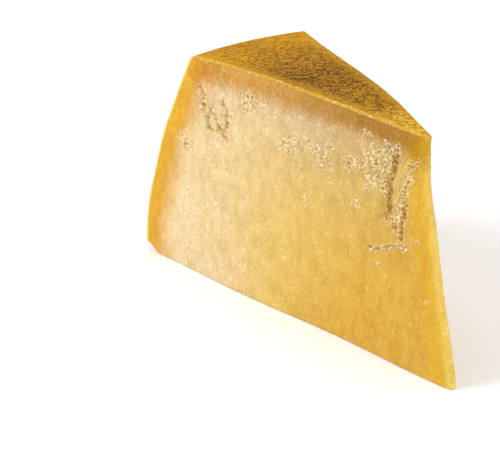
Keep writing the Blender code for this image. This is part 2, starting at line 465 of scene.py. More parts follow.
def split_relief(side, radius, height):
    """A split face's relief, and how crumbled and hollow it is. All but the waves fade at its borders."""
    along = along_from_edge(radius, height)
    fine, crumbled, hollow = torn_surface(side, along, height)
    fade = smooth_step((barrel_radius(height) - radius) / MM, 1.5, 6.0)
    fade = fade * smooth_step((face_height(radius) - height) / MM, 1.5, 6.0)
    fade = fade * smooth_step(height, 0.0, 4.0 * MM) * smooth_step(along, 0.0, 3.0 * MM)
    return waves(side, along, height) + fine * fade, crumbled * fade, hollow * fade


def split_wall(side, shares):
    """A split face's corners, by shares of the way from the thin edge to the rind, and how torn it is."""
    height, inset = wall_rows(shares)
    radius = shares[None, :] * (barrel_radius(height) - PASTE_TUCK)
    relief, crumbled, hollow = split_relief(side, radius, height)
    return split_face_point(side, radius, height, relief - inset), crumbled, hollow


def nose_wall():
    """The half-round thin edge between the two split faces, by turning from one to the other."""
    reach = math.pi / 2.0 - HALF_ANGLE
    turn = np.linspace(-reach, reach, NOSE_COLUMNS + 1)[None, :]
    height, inset = wall_rows(np.zeros(1))
    share = (turn + reach) / (2.0 * reach)
    relief = edge_waves(share, height)
    u, v = turn * EDGE_ROUND / MM, height / MM
    bump = 0.16 * noise(u / 2.0 + 7.0, v / 2.2, 61) + 0.22 * noise(u / 5.0 + 3.0, v / 7.0, 62)
    bump = bump * np.sin(math.pi * share) * smooth_step(height, 0.0, 3.0 * MM) * MM
    reach_out = EDGE_ROUND + relief + bump - inset
    x = AXIS_X + edge_lean(height) + reach_out * np.cos(turn)
    y = reach_out * np.sin(turn)
    rough = 0.35 * np.sin(math.pi * share) * smooth_step(noise(u / 3.0, v / 4.0, 63), -0.2, 0.5)
    return np.stack([x, y, height + 0.0 * turn], -1), rough


def bow(share):
    """0 at both sides and 1 in the middle."""
    return 4.0 * share * (1.0 - share)


def across_chunk(front_line, back_line, bulge):
    """Corners across the chunk from front to back, bowed like the wheel, closest at the broken corner."""
    share = denser_spacing(CROSS_COLUMNS, [(0.0, 0.25, 2.5)])
    across = front_line[:, None] * (1.0 - share)[:, None] + back_line[:, None] * share[:, None]
    across[..., 0] -= bow(share) * bulge[:, None]
    return across


GOLDEN_REACH = 0.170


def golden_and_painted_light_share(edge_gap, height):
    """How golden the paste is: most at the foot of the thin edge, cream towards the barrel and the top. The
    gold is partly the paste's own colour and partly painted glow through the thin wedge and painted shade
    where the light falls off.
    """
    near = np.clip(1.0 - edge_gap / GOLDEN_REACH, 0.0, 1.0) ** 0.8
    return np.clip(1.3 * near * (1.34 - height / HALF_HEIGHT), 0.0, 1.0)


def paste_patch(points, tile, crumbled=0.0, hollow=0.0, turned=False):
    """A patch of paste, with the marks that its colour follows."""
    broken = break_corner(points)
    radius = np.hypot(broken[..., 0] - AXIS_X, broken[..., 1])
    height = broken[..., 2]
    lean = (barrel_radius(height) - barrel_radius(height + MM)) / MM
    edge_gap = AXIS_X + edge_lean(height) + EDGE_ROUND - broken[..., 0]
    marks = {
        "side_depth": (barrel_radius(height) - radius) / np.sqrt(1.0 + lean * lean) / MM,
        "face_depth": (face_height(radius) - height) / MM,
        "edge_gap": edge_gap / MM,
        "golden": golden_and_painted_light_share(edge_gap, height),
        "crumbled": crumbled,
        "hollow": hollow,
    }
    return grid_patch(broken, marks, tile, turned)


def make_paste(material):
    """The paste: two torn split faces, the thin edge, the base and, hidden by the rind, the rest."""
    shares = denser_spacing(FRONT_COLUMNS, [(0.12, 0.10, 0.9), (0.72, 0.09, 0.5)])
    front, front_crumbled, front_hollow = (part[:, ::-1] for part in split_wall(FRONT, shares))
    back, back_crumbled, back_hollow = split_wall(BACK, shares[::2])
    nose, nose_rough = nose_wall()
    nose[:, 0] = front[:, -1]
    nose[:, -1] = back[:, 0]

    height, _ = wall_rows(np.ones(1))
    bulge = (barrel_radius(height[:, 0]) - PASTE_TUCK) * (1.0 - math.cos(HALF_ANGLE))
    outer = across_chunk(front[:, 0], back[:, -1], bulge)[:, ::-1]
    half_nose = NOSE_COLUMNS // 2
    front_line = np.concatenate([front[:, ::2], nose[:, 1 : half_nose + 1]], 1)
    back_line = np.concatenate([back[:, ::-1], nose[:, ::-1][:, 1 : half_nose + 1]], 1)
    bow_share = np.concatenate([shares[::2][::-1] ** 2, np.zeros(half_nose)])
    base = across_chunk(front_line[0], back_line[0], bulge[0] * bow_share)
    top = across_chunk(front_line[-1], back_line[-1], bulge[-1] * bow_share)

    patches = [
        paste_patch(front, (0.01, 0.47, 0.98, 0.52), front_crumbled, front_hollow),
        paste_patch(nose, (0.93, 0.01, 0.05, 0.44), nose_rough),
        paste_patch(back, (0.01, 0.01, 0.60, 0.44), back_crumbled, back_hollow),
        paste_patch(outer, (0.85, 0.01, 0.06, 0.44)),
        paste_patch(base, (0.62, 0.01, 0.13, 0.44)),
        paste_patch(top, (0.77, 0.01, 0.06, 0.44), turned=True),
    ]
    even = np.arange(0, FRONT_COLUMNS, 2)
    last_row = (front.shape[0] - 1) * front.shape[1]
    foot_stitches = np.stack([even, even + 2, even + 1], 1)
    top_stitches = np.stack([even, even + 1, even + 2], 1) + last_row
    extras = [
        (0, foot_stitches, stitch_layout(even, (0, 2, 1), 0.455)),
        (0, top_stitches, stitch_layout(even, (0, 1, 2), 0.462)),
    ]
    return mesh_piece("parmesan_paste", patches, extras, material)


def stitch_layout(even, order, bottom):
    """A thin row of triangles in the flat layout, for the faces that join a fine edge to a coarse one."""
    across = 0.01 + 0.98 * (even[:, None] + np.array(order)[None, :]) / FRONT_COLUMNS
    up = bottom + 0.004 * (np.array(order)[None, :] == 1) + 0.0 * across
    return np.stack([across, up], -1)


# ---- the rind

WIDEST_LIP = 0.35  # the most that a lip's round may take of the rind's width, near the tip
RIND_CELLS = 102  # across its outside
RIND_INNER_CELLS = 6
LIP_STEPS = 4
TIP_ROWS = 7
FACE_ROWS = 250
RIM_ROWS = 9
BARREL_ROWS = 178


def rind_ring():
    """The rind's outline across the chunk, as shares across, shares of the lip's round, and depths.

    It runs up the front lip, round its corner, over the outside, down the back lip and back inside. The
    place across is the first number plus the second times the lip's round over the width.
    """
    turn = np.linspace(math.pi / 2.0, 0.0, LIP_STEPS + 1)
    lip_in = 1.0 - np.sin(turn)
    lip_depth = RIND_LIP_ROUND * (1.0 - np.cos(turn))
    outside = np.linspace(0.0, 1.0, RIND_CELLS + 1)[1:-1]
    inside = np.linspace(1.0, 0.0, RIND_INNER_CELLS + 1)[1:-1]
    deep = np.array([RIND_THICK, (RIND_THICK + RIND_LIP_ROUND) / 2.0])
    parts = [
        (0.0, 0.0, deep),
        (0.0, lip_in, lip_depth),
        (outside, 1.0 - 2.0 * outside, 0.0),
        (1.0, -lip_in[::-1], lip_depth[::-1]),
        (1.0, 0.0, deep[::-1]),
        (inside, 0.0, RIND_THICK),
    ]
    return np.concatenate([np.stack(np.broadcast_arrays(*part)) for part in parts], 1)


def rind_path():
    """The rind's outline along the chunk: turns round the tip, then radii and heights to the rim's foot.

    The rim is a quadratic curve from the flat face to the barrel, pulled towards their corner.
    """
    reach = math.pi / 2.0 - HALF_ANGLE
    turns = np.concatenate([np.linspace(0.0, reach, TIP_ROWS + 1), np.full(FACE_ROWS + RIM_ROWS, reach)])
    face_end = FACE_RADIUS - RIM_ROUND
    face_radii = np.linspace(0.0, face_end, FACE_ROWS + 1)[1:]
    share = np.linspace(0.0, 1.0, RIM_ROWS + 1)[1:, None]
    foot = HALF_HEIGHT - RIM_ROUND
    start = np.array((face_end, face_height(face_end)))
    corner = np.array((FACE_RADIUS, HALF_HEIGHT))
    end = np.array((barrel_radius(foot), foot))
    rim = start * (1.0 - share) ** 2 + corner * (2.0 * share * (1.0 - share)) + end * share**2
    radii = np.concatenate([np.zeros(TIP_ROWS + 1), face_radii, rim[:, 0]])
    heights = np.concatenate([np.full(TIP_ROWS + 1, HALF_HEIGHT), face_height(face_radii), rim[:, 1]])
    return turns, radii, heights


def rind_side(side, turn, radius, height):
    """A point on the rind's edge along a split face, or round the tip where the turn is less than full."""
    relief = waves(side, along_from_edge(radius, height), height) + RIND_PROUD
    flat = split_face_point(side, radius, height, relief)
    share = 0.5 + side * turn / (math.pi - 2.0 * HALF_ANGLE)
    reach_out = EDGE_ROUND + edge_waves(share, height) + RIND_PROUD
    x = AXIS_X + edge_lean(height) + reach_out * np.cos(turn)
    y = side * reach_out * np.sin(turn)
    tip = np.stack([x, y, height], -1)
    on_tip = turn < math.pi / 2.0 - HALF_ANGLE - HAIR
    return np.where(on_tip[..., None], tip, flat)


def rind_surface(turn, radius, height, share, lip_share):
    """A point on the rind's outside, before its relief: across from the front edge to the back one."""
    front = rind_side(FRONT, turn, radius, height)
    back = rind_side(BACK, turn, radius, height)
    width = np.maximum(back[..., 1] - front[..., 1], HAIR)
    place = share + lip_share * np.minimum(RIND_LIP_ROUND / width, WIDEST_LIP)
    points = front * (1.0 - place[..., None]) + back * place[..., None]
    bulge = radius * (1.0 - math.cos(HALF_ANGLE)) * np.clip(radius / FACE_RADIUS, 0.0, 1.0)
    points[..., 0] -= bow(place) * bulge
    return points, np.minimum(place, 1.0 - place) * width


def rind_normal(points, slope_out, slope_up):
    """The way out of the rind: the wheel's outline turned a quarter, spread round its axis."""
    around = points[..., :2] - np.array((AXIS_X, 0.0))
    length = np.maximum(np.hypot(around[..., 0], around[..., 1]), 1.0e-6)
    out = around / length[..., None] * slope_out[..., None]
    return np.concatenate([out, (slope_up + 0.0 * length)[..., None]], -1)


def barrel_slope(height):
    """The barrel's outward direction at a height, as (out, up)."""
    fall = (barrel_radius(height - MM / 2.0) - barrel_radius(height + MM / 2.0)) / MM
    length = np.sqrt(1.0 + fall * fall)
    return 1.0 / length, fall / length


def barrel_points(height, share, lip_share, depth):
    """Points at a depth under the barrel's surface, and its direction there."""
    turn = np.full(np.shape(height), math.pi / 2.0)
    points, gap = rind_surface(turn, barrel_radius(height), height, share, lip_share)
    normal = rind_normal(points, *barrel_slope(height))
    return points - depth[..., None] * normal, normal, gap


BASE_CLEAR = 0.15 * MM
CHIP_CLEAR = 0.1 * MM
CHIP_TOP = 16.0 * MM  # above the broken corner's highest point
HALVINGS = 22


def rind_foot(share, lip_share, depth):
    """How low the rind reaches: to just above the base, or to the broken corner, found by halving."""
    low = np.full(np.shape(share), BASE_CLEAR)
    high = np.full(np.shape(share), CHIP_TOP)
    clear, _, _ = barrel_points(low, share, lip_share, depth)
    whole = past_chip(clear) <= 0.0
    for _ in range(HALVINGS):
        middle = (low + high) / 2.0
        points, _, _ = barrel_points(middle, share, lip_share, depth)
        past = past_chip(points) > 0.0
        low = np.where(past, middle, low)
        high = np.where(past, high, middle)
    return np.where(whole, BASE_CLEAR, high + CHIP_CLEAR)


def rind_relief(walk, across, outness):
    """The rind's own relief in millimetres: broad dents, a leathery grain, and pricks and scratches."""
    dents = 0.20 * noise(walk / 21.0, across / 17.0, 71) + 0.10 * noise(walk / 8.0, across / 7.0, 72)
    grain, _ = grain_distance(walk / 1.7, across / 1.7, 73)
    leather = 0.10 * (0.6 - grain) + 0.06 * noise(walk / 0.9, across / 0.9, 74)
    pricks = smooth_step(noise(walk / 1.6, across / 1.6, 75), 0.62, 0.85)
    rings = 0.07 * noise(walk / 1.8, across / 38.0, 76) * outness
    return dents + leather * (1.0 - 0.35 * outness) - 0.22 * pricks + rings


def make_rind(material):
    """The rind: a skin over the flat face, the rim and the barrel, with rounded cut lips."""
    share, lip_share, depth = rind_ring()
    turns, radii, heights = (line[:, None] for line in rind_path())
    upper, upper_gap = rind_surface(turns, radii, heights, share, lip_share)
    fall, run = np.gradient(heights[TIP_ROWS:], axis=0), np.gradient(radii[TIP_ROWS:], axis=0)
    length = np.hypot(fall, run)
    out = np.concatenate([np.zeros((TIP_ROWS, 1)), -fall / length])
    up = np.concatenate([np.ones((TIP_ROWS, 1)), run / length])
    out[-1], up[-1] = barrel_slope(heights[-1])
    upper_normal = rind_normal(upper, out, up)
    upper = upper - depth[:, None] * upper_normal

    foot = rind_foot(share, lip_share, depth)
    way = np.linspace(0.0, 1.0, BARREL_ROWS + 1)[1:, None]
    low_height = heights[-1] + (foot - heights[-1]) * way
    lower, lower_normal, lower_gap = barrel_points(low_height, share, lip_share, depth)
    points = np.concatenate([upper, lower])
    normal = np.concatenate([upper_normal, lower_normal])
    gap = np.concatenate([upper_gap, lower_gap]) / MM
    outness = 1.0 - smooth_step(normal[..., 2], 0.45, 0.95)
    before_axis = EDGE_ROUND * np.cos(turns) * (radii == 0.0)
    upper_walk = np.broadcast_to(radii - before_axis, upper_gap.shape)
    walk = np.concatenate([upper_walk, FACE_RADIUS + HALF_HEIGHT - low_height]) / MM
    surface = np.clip(1.0 - depth / RIND_THICK, 0.0, 1.0)
    foot_fade = smooth_step(points[..., 2], 0.0, 2.0 * MM)
    relief = rind_relief(walk, points[..., 1] / MM, outness) * surface * foot_fade
    points = points + (relief * MM)[..., None] * normal
    marks = {
        "lip": 1.0 - smooth_step(gap - depth / MM, 0.1, 0.9),
        "outness": outness,
        "walk": walk,
        "lip_gap": gap,
    }
    closed = np.concatenate([points, points[:, :1]], 1)
    closed_marks = {name: np.concatenate([value, value[:, :1]], 1) for name, value in marks.items()}
    patch = grid_patch(closed, closed_marks, (0.01, 0.02, 0.98, 0.97))
    last = (closed.shape[0] - 1) * closed.shape[1]
    foot_ring = last + np.arange(len(share))[None]
    across = 0.05 + 0.9 * (share + 0.02 * lip_share)
    layout = np.stack([across, 0.004 + 0.01 * depth / RIND_THICK], -1)[None]
    return mesh_piece("parmesan_rind", [patch], [(0, foot_ring, layout)], material)


# ---- crystals and crumbs

GOLDEN_RATIO = (1.0 + math.sqrt(5.0)) / 2.0
GRAIN_CORNERS = np.array(
    [(x, y * GOLDEN_RATIO, 0.0) for y in (1, -1) for x in (-1, 1)]
    + [(0.0, x, y * GOLDEN_RATIO) for y in (1, -1) for x in (-1, 1)]
    + [(y * GOLDEN_RATIO, 0.0, x) for y in (1, -1) for x in (-1, 1)]
) / math.hypot(1.0, GOLDEN_RATIO)
GRAIN_COUNT = len(GRAIN_CORNERS)
TRIES_PER_CRUMB = 30


def grain_faces():
    """The 20 triangles of a grain: every three corners that lie one edge apart, turned to face out."""
    gap = np.linalg.norm(GRAIN_CORNERS[:, None] - GRAIN_CORNERS[None, :], axis=-1)
    near = (gap > 0.1) & (gap < 1.2)
    faces = []
    for i, j, k in itertools.combinations(range(GRAIN_COUNT), 3):
        if near[i, j] and near[j, k] and near[i, k]:
            a, b, c = GRAIN_CORNERS[[i, j, k]]
            faces.append((i, j, k) if np.dot(np.cross(b - a, c - a), a) > 0.0 else (i, k, j))
    return np.array(faces)


def grain_turns(count, seed):
    """A turn for each grain, from four numbers each taken as a quaternion."""
    numbers = cell_number(np.arange(count)[:, None], np.arange(4), seed) - 0.5
    w, x, y, z = (numbers / np.linalg.norm(numbers, axis=1)[:, None]).T
    rows = [
        (1 - 2 * (y * y + z * z), 2 * (x * y - w * z), 2 * (x * z + w * y)),
        (2 * (x * y + w * z), 1 - 2 * (x * x + z * z), 2 * (y * z - w * x)),
        (2 * (x * z - w * y), 2 * (y * z + w * x), 1 - 2 * (x * x + y * y)),
    ]
    return np.array(rows).transpose(2, 0, 1)


def scatter_on_split(side, count, seed, wants_crumbled):
    """Places on a split face, spread evenly or only where it is crumbled: points and their ways out."""
    tries = np.arange(count * TRIES_PER_CRUMB if wants_crumbled else count)
    share = 0.03 + 0.93 * cell_number(tries, 0, seed)
    height = (0.03 + 0.92 * cell_number(tries, 1, seed)) * HALF_HEIGHT
    radius = share * barrel_radius(height)
    relief, crumbled, _ = split_relief(side, radius, height)
    points = split_face_point(side, radius, height, relief)
    wanted = crumbled > 0.5 if wants_crumbled else past_chip(points) < -MM
    out = np.array((math.sin(HALF_ANGLE), side * math.cos(HALF_ANGLE), 0.0))
    points = points[wanted][:count]
    return points, out * np.ones((len(points), 1))


def make_grains(name, places, sizes, flatness, sunk, seed, material):
    """Twenty-sided grains with uneven corners, each turned its own way, flattened and part sunk."""
    points = np.concatenate([place[0] for place in places])
    outward = np.concatenate([place[1] for place in places])
    count = len(points)
    index = np.arange(count)
    size = sizes[0] + (sizes[1] - sizes[0]) * cell_number(index, 0, seed) ** 2
    uneven = 0.72 + 0.5 * cell_number(index[:, None], np.arange(GRAIN_COUNT), seed + 1)
    corners = GRAIN_CORNERS * uneven[..., None] * (size / 2.0)[:, None, None]
    stretch = 0.75 + 0.5 * cell_number(index[:, None], np.arange(3), seed + 2)
    corners = np.einsum("nij,nkj->nki", grain_turns(count, seed + 3), corners * stretch[:, None, :])
    lift = np.einsum("nkj,nj->nk", corners, outward)
    corners = corners - (1.0 - flatness) * lift[..., None] * outward[:, None]
    corners = corners + (points - sunk * size[:, None] * outward)[:, None]
    corner_faces = (grain_faces() + GRAIN_COUNT * index[:, None, None]).reshape(-1, 3)

    cell = np.arange(len(corner_faces))
    columns = math.ceil(math.sqrt(len(cell)))
    corner_places = np.array(((0.1, 0.1), (0.9, 0.1), (0.1, 0.9)))
    layout = np.stack([cell % columns, cell // columns], -1)[:, None] + corner_places
    marks = {"shade": np.repeat(cell_number(index, 0, seed + 4), GRAIN_COUNT)}
    points = corners.reshape(-1, 3)
    return finished_piece(name, points, corner_faces.tolist(), layout / columns, marks, material)


# ---- finishes


def tone(red, green, blue):
    """A colour given as it shows on a screen, 0 to 255, as the light value that a shader wants."""
    return tuple(((level / 255.0 + 0.055) / 1.055) ** 2.4 for level in (red, green, blue)) + (1.0,)


class Shade:
    """A value or a colour that varies over a surface: a node's output, worked with like a number."""

    def __init__(self, tree, socket):
        self.tree = tree
        self.socket = socket

    def worked(self, operation, other):
        node = self.tree.nodes.new("ShaderNodeMath")
        node.operation = operation
        feed(self.tree, node, {0: self, 1: other})
        return Shade(self.tree, node.outputs[0])

    def __add__(self, other):
        return self.worked("ADD", other)

    def __sub__(self, other):
        return self.worked("SUBTRACT", other)

    def __mul__(self, other):
        return self.worked("MULTIPLY", other)

    def __truediv__(self, other):
        return self.worked("DIVIDE", other)


def feed(tree, node, inputs):
    """Links a node's inputs to shades, or sets plain values on them."""
    for key, value in inputs.items():
        if isinstance(value, Shade):
            tree.links.new(value.socket, node.inputs[key])
        else:
            node.inputs[key].default_value = value


def most(first, second):
    """Whichever is more."""
    return first.worked("MAXIMUM", second)


def rise(value, start, end, low=0.0, high=1.0):
    """low before start, high past end, and a smooth step between."""
    node = value.tree.nodes.new("ShaderNodeMapRange")
    node.interpolation_type = "SMOOTHSTEP"
    feed(value.tree, node, dict(enumerate((value, start, end, low, high))))
    return Shade(value.tree, node.outputs[0])


def blended(share, first, second, way="MIX"):
    """first where the share is 0 and second where it is 1. With MULTIPLY it is first times second there."""
    tree = next(value.tree for value in (share, first, second) if isinstance(value, Shade))
    node = tree.nodes.new("ShaderNodeMix")
    node.data_type = "RGBA"
    node.blend_type = way
    feed(tree, node, {0: share, 6: first, 7: second})
    return Shade(tree, node.outputs[2])


def tinted(share, colour, red, green, blue):
    """A colour, multiplied by a tint as far as the share says."""
    return blended(share, colour, (red, green, blue, 1.0), "MULTIPLY")


def colour_by(value, stops):
    """A colour that changes with a value, through (value, colour) stops that start at 0."""
    node = value.tree.nodes.new("ShaderNodeValToRGB")
    reach = stops[-1][0]
    feed(value.tree, node, {0: value / reach})
    ramp = node.color_ramp
    while len(ramp.elements) < len(stops):
        ramp.elements.new(1.0)
    for element, (place, colour) in zip(ramp.elements, stops):
        element.position = place / reach
        element.color = colour
    return Shade(value.tree, node.outputs[0])


def tones_by(value, *stops):
    """A colour by a value, through stops of a value and a tone's three levels."""
    return colour_by(value, [(place, tone(*levels)) for place, *levels in stops])


def tints_by(value, *stops):
    """A tint by a value, through stops of a value and three factors."""
    return colour_by(value, [(place, (*factors, 1.0)) for place, *factors in stops])


def grey(level):
    return (level, level, level, 1.0)


class Finish:
    """A material in the making: its shader, and the patterns and marks that its colours follow."""

    def __init__(self, name):
        self.material = bpy.data.materials.new(name)
        self.material.use_nodes = True
        self.tree = self.material.node_tree
        self.tree.nodes.clear()
        output = self.tree.nodes.new("ShaderNodeOutputMaterial")
        self.shader = self.tree.nodes.new("ShaderNodeBsdfPrincipled")
        self.tree.links.new(self.shader.outputs[0], output.inputs[0])

    def made(self, inputs):
        """The material, with its shader's inputs fed."""
        feed(self.tree, self.shader, inputs)
        return self.material

    def mark(self, name):
        """One of the marks that the mesh carries."""
        node = self.tree.nodes.new("ShaderNodeAttribute")
        node.attribute_name = name
        return Shade(self.tree, node.outputs["Fac"])

    def coordinates(self):
        """The object's own coordinates."""
        return Shade(self.tree, self.tree.nodes.new("ShaderNodeTexCoord").outputs["Object"])

    def mottle(self, size, detail=2.0, shift=0.0, stretch=(1.0, 1.0, 1.0), turn=0.0):
        """Soft noise from 0 to 1, with patches of a size in millimetres.

        stretch draws the patches out, after the pattern is turned in plan by an angle in degrees.
        """
        mapping = self.tree.nodes.new("ShaderNodeMapping")
        mapping.vector_type = "TEXTURE"
        place = {
            "Vector": self.coordinates(),
            "Location": (shift, 2.0 * shift, 3.0 * shift),
            "Rotation": (0.0, 0.0, math.radians(turn)),
            "Scale": stretch,
        }
        feed(self.tree, mapping, place)
        pattern = self.tree.nodes.new("ShaderNodeTexNoise")
        placed = Shade(self.tree, mapping.outputs[0])
        feed(self.tree, pattern, {"Vector": placed, "Scale": 1.0 / (size * MM), "Detail": detail})
        return Shade(self.tree, pattern.outputs["Fac"])

    def specks(self, spacing, radius, kept):
        """Round specks from 0 to 1: one per cell of a spacing, in millimetres, in a kept share of cells."""
        cells = self.tree.nodes.new("ShaderNodeTexVoronoi")
        feed(self.tree, cells, {"Vector": self.coordinates(), "Scale": 1.0 / (spacing * MM)})
        split = self.tree.nodes.new("ShaderNodeSeparateColor")
        feed(self.tree, split, {0: Shade(self.tree, cells.outputs["Color"])})
        gap = Shade(self.tree, cells.outputs["Distance"])
        number = Shade(self.tree, split.outputs[0])
        inside = rise(gap, radius / spacing, 0.3 * radius / spacing)
        return inside * rise(number, kept + 0.02, kept - 0.02)

    def bump(self, height, depth):
        """A bump for the shader: height from 0 to 1, for a depth in millimetres."""
        node = self.tree.nodes.new("ShaderNodeBump")
        feed(self.tree, node, {"Strength": 1.0, "Distance": depth * MM, "Height": height})
        return Shade(self.tree, node.outputs[0])


def paste_finish():
    """Cream to golden paste, amber under the rind and at the thin edge, paler where it has crumbled. Its
    colour also holds painted light: glow and shade in the gold, shade on the upper face, highlights on the
    crumbs and shade between them and in the hollows.
    """
    finish = Finish("aged_paste")
    mottle, mark = finish.mottle, finish.mark
    wobble = (mottle(9.0, 3.0) - 0.5) * 7.0
    fine_wobble = (mottle(1.6) - 0.5) * 3.0
    side_depth = mark("side_depth") + fine_wobble
    face_depth = mark("face_depth") + fine_wobble
    edge_gap = mark("edge_gap")

    # cream, turning golden towards the foot of the thin edge: partly the paste's own colour, partly painted
    # glow where light shines through the thin wedge and painted shade where the light falls off across the
    # face
    golden = tones_by(
        mark("golden"),
        (0.0, 236, 214, 169), (0.3, 233, 206, 151), (0.6, 230, 197, 112), (1.0, 221, 177, 74),
    )
    edge_colour = tones_by(
        edge_gap, (0.0, 235, 201, 96), (1.6, 233, 194, 78), (3.0, 229, 186, 66), (7.0, 225, 178, 54)
    )
    colour = blended(rise(edge_gap + wobble, 18.0, 7.0), golden, edge_colour)

    # amber beside the barrel, brown under the flat face, and painted shade, darker and greyer, between
    # there and the edge
    side_tint = tints_by(
        side_depth + wobble,
        (0.0, 0.92, 0.77, 0.10), (3.0, 0.91, 0.63, 0.085), (8.0, 0.90, 0.61, 0.09),
        (9.7, 0.90, 0.62, 0.20), (11.5, 0.92, 0.69, 0.34), (14.0, 0.98, 0.82, 0.59),
        (17.0, 0.99, 0.90, 0.76), (22.0, 1.0, 1.0, 1.0),
    )
    face_tint = tints_by(
        face_depth + wobble * 0.6,
        (0.0, 0.73, 0.50, 0.18), (8.0, 0.72, 0.49, 0.19), (10.5, 0.75, 0.55, 0.31),
        (13.5, 0.80, 0.67, 0.50), (17.0, 0.88, 0.81, 0.77), (21.0, 0.93, 0.89, 0.91),
        (27.0, 0.95, 0.93, 0.94), (36.0, 0.98, 0.97, 0.99), (48.0, 1.0, 1.0, 1.0),
    )
    face_tint = blended(rise(side_depth, 5.0, 14.0, 0.42, 1.0), grey(1.0), face_tint)
    corner = rise(edge_gap, 22.0, 8.0) * rise(face_depth, 18.0, 9.0)
    face_tint = blended(corner, face_tint, (0.69, 0.585, 0.20, 1.0))
    near_edge = rise(edge_gap, 95.0, 25.0) * rise(edge_gap, 3.0, 13.0)
    colour = tinted(near_edge * rise(face_depth, 14.0, 8.0), colour, 0.80, 0.74, 0.58)
    # painted shade where the light falls off: the upper face darker and greyer towards the thin edge,
    # though not right at it
    painted_shade_zone = rise(edge_gap, 125.0, 60.0) * rise(face_depth, 80.0, 35.0) * rise(edge_gap, 6.0, 22.0)
    colour = tinted(painted_shade_zone, colour, 0.87, 0.87, 0.96)
    colour = blended(1.0, colour, side_tint, "MULTIPLY")
    colour = blended(1.0, colour, face_tint, "MULTIPLY")

    # clouds, a fine grain and upright streaks
    colour = tinted(rise(mottle(14.0, 4.0, 0.3), 0.3, 0.7), colour, 0.93, 0.90, 0.84)
    calm = rise(mottle(13.0, 3.0, 2.9), 0.34, 0.64, 0.25, 1.0)
    colour = tinted(calm * rise(mottle(1.1, 5.0, 0.7), 0.38, 0.64), colour, 0.87, 0.82, 0.73)
    streaks = rise(mottle(4.5, 4.0, 1.3, (1.0, 1.0, 2.2)), 0.42, 0.70)
    colour = tinted(streaks, colour, 0.93, 0.89, 0.80)

    # pale flecks and specks, smears high on the face, and a pale grain in the brown band
    clusters = rise(mottle(15.0, 4.0, 2.4), 0.36, 0.62, 0.20, 1.0)
    flecks = rise(mottle(1.6, 5.0, 1.8, (1.0, 1.0, 1.3)), 0.57, 0.66)
    flecks = flecks * most(clusters, rise(face_depth, 34.0, 16.0))
    colour = tinted(most(flecks, finish.specks(2.1, 0.6, 0.16)), colour, 1.13, 1.27, 1.75)
    upper = rise(face_depth, 7.0, 15.0) * rise(face_depth, 55.0, 30.0, 0.0, 0.6)
    smears = upper * rise(mottle(5.0, 3.0, 3.1, (1.0, 1.0, 1.7)), 0.50, 0.61)
    colour = tinted(smears, colour, 1.12, 1.22, 1.42)
    band_grain = rise(face_depth, 24.0, 14.0) * rise(mottle(1.0, 4.0, 3.3), 0.49, 0.58)
    colour = tinted(band_grain, colour, 1.15, 1.27, 1.60)

    # pale crumbs where it is torn, partly the broken paste's own paler colour and partly painted highlights
    # on the crumbs; painted shade between them and in the pits and grooves
    crumbled = mark("crumbled")
    crumbs = mottle(1.15, 4.0, 1.1, (1.0, 1.0, 1.2))
    pale_crumbs_and_highlights = crumbled * rise(crumbs, 0.48, 0.58, 0.20, 0.88)
    colour = blended(pale_crumbs_and_highlights, colour, tone(253, 234, 188))
    painted_shade_between_crumbs = crumbled * rise(crumbs, 0.46, 0.34)
    colour = tinted(most(painted_shade_between_crumbs, rise(mark("hollow"), 0.14, 0.80)), colour, 0.69, 0.52, 0.22)
    height = mottle(0.8, 3.0, 1.7) + mottle(2.6, 2.0, 2.1) * 0.8 + crumbled * crumbs * 3.0
    return finish.made(
        {
            "Base Color": colour,
            "Roughness": rise(mottle(3.0, 2.0, 0.9), 0.25, 0.75, 0.42, 0.60),
            "Normal": finish.bump(height, 0.16),
            "Specular IOR Level": 0.12,
            "Subsurface Weight": 0.30,
            "Subsurface Radius": (1.0, 0.60, 0.20),
            "Subsurface Scale": 2.0 * MM,
        }
    )


WIPE_TURN = 56.0  # the way the rind was wiped, in plan
BARREL_START = 160.0  # the walk at which the barrel's own shades start


